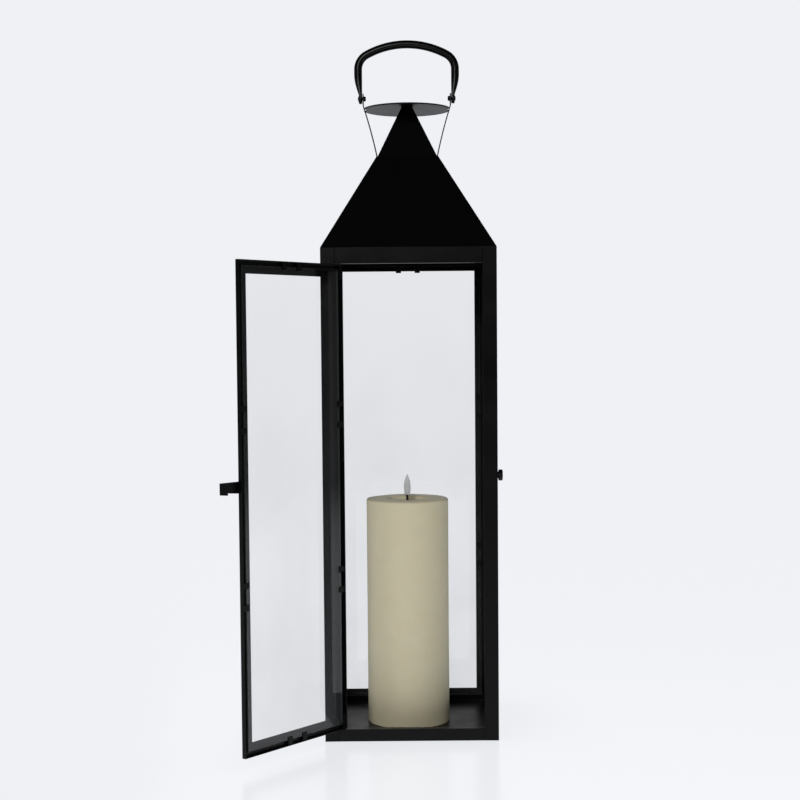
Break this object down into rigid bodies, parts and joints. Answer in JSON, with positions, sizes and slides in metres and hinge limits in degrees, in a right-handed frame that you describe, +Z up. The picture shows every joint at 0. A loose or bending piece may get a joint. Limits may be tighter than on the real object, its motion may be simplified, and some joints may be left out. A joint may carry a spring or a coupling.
{
  "type": "candle lantern",
  "caption": "Tall square lantern with a hinged glazed door, pyramid roof, round heat shield and swinging bail, holding a battery pillar candle.",
  "frame": {"origin": "middle of the square body's underside, on the surface that the lantern stands on", "axes": "+Z up, -Y out of the front, where the door is, +X to the lantern's right as seen from the front"},
  "size_m": [0.2333, 0.2651, 0.6219],
  "materials": {
    "black_enamel": "satin black enamel on sheet steel",
    "gloss_black": "gloss black enamel on round bar",
    "clear_glass": "clear float glass",
    "ivory_wax": "moulded ivory wax, satin",
    "ivory_plastic": "moulded, fine matt",
    "black_plastic": "moulded, matt",
    "bright_steel": "nickel plated",
    "battery_can": "plain printed sleeve",
    "board_green": "solder mask",
    "copper_wire": "enamelled copper wire",
    "led_lens": "clear epoxy",
    "flame_film": "frosted translucent film"
  },
  "bodies": {
    "lantern": {"floor_pan": "black_enamel", "corner_post_front_left": "black_enamel", "corner_post_front_right": "black_enamel", "corner_post_rear_right": "black_enamel", "corner_post_rear_left": "black_enamel", "front_lip": "black_enamel", "bottom_rail_right": "black_enamel", "bottom_rail_rear": "black_enamel", "bottom_rail_left": "black_enamel", "top_rail_front": "black_enamel", "top_rail_right": "black_enamel", "top_rail_rear": "black_enamel", "top_rail_left": "black_enamel", "glass_pane_right": "clear_glass", "glass_pane_rear": "clear_glass", "glass_pane_left": "clear_glass", "glass_clips_right": "black_enamel", "glass_clips_rear": "black_enamel", "glass_clips_left": "black_enamel", "roof_lower": "black_enamel", "roof_upper": "black_enamel", "roof_screws": "black_enamel", "heat_shield": "black_enamel", "shield_rivet": "black_enamel", "bail_strap": "black_enamel", "strap_rivets": "black_enamel", "bail_pins": "gloss_black", "catch_stud": "black_enamel", "catch_magnet": "bright_steel"},
    "door": {"door_hinge_stile": "black_enamel", "door_latch_stile": "black_enamel", "door_top": "black_enamel", "door_bottom": "black_enamel", "door_glass": "clear_glass", "door_glass_clips": "black_enamel", "hinge_pin_lower": "black_enamel", "hinge_pin_upper": "black_enamel", "latch_strip": "black_enamel", "latch_rivets": "black_enamel"},
    "bail": {"bail": "gloss_black"},
    "candle": {"wax_pillar": "ivory_wax", "candle_core": "ivory_plastic", "battery_left": "battery_can", "battery_right": "battery_can", "battery_contacts": "bright_steel", "circuit_board": "board_green", "switch_body": "black_plastic", "flame_module": "black_plastic", "drive_coil": "copper_wire", "flame_led": "led_lens", "pivot_wire": "bright_steel"},
    "flame": {"flame_blade": "flame_film", "flame_wick": "black_plastic", "flame_magnet": "bright_steel"},
    "cover": {"battery_cover": "ivory_plastic", "bridge_contact": "bright_steel"},
    "switch": {"switch_slider": "black_plastic"}
  },
  "joints": [
    {"name": "door_hinge", "type": "hinge", "parent": "lantern", "child": "door", "pos_m": [-0.0606, -0.075, 0.21415], "axis": [0, 0, 1], "range_deg": [-6, 128.9]},
    {"name": "bail_swing", "type": "hinge", "parent": "lantern", "child": "bail", "pos_m": [0, 0, 0.5697], "axis": [1, 0, 0], "range_deg": [-145, 145]},
    {"name": "candle_lift", "type": "slide", "parent": "lantern", "child": "candle", "axis": [0, 0, 1], "range_m": [0, 0.15]},
    {"name": "flame_rock", "type": "hinge", "parent": "candle", "child": "flame", "pos_m": [-0.0024, 0, 0.19], "axis": [0, 1, 0], "range_deg": [-6, 6]},
    {"name": "cover_twist", "type": "hinge", "parent": "candle", "child": "cover", "pos_m": [-0.0024, 0, 0.0036], "axis": [0, 0, 1], "range_deg": [0, 30]},
    {"name": "switch_slide", "type": "slide", "parent": "candle", "child": "switch", "axis": [1, 0, 0], "range_m": [0, 0.004]}
  ]
}
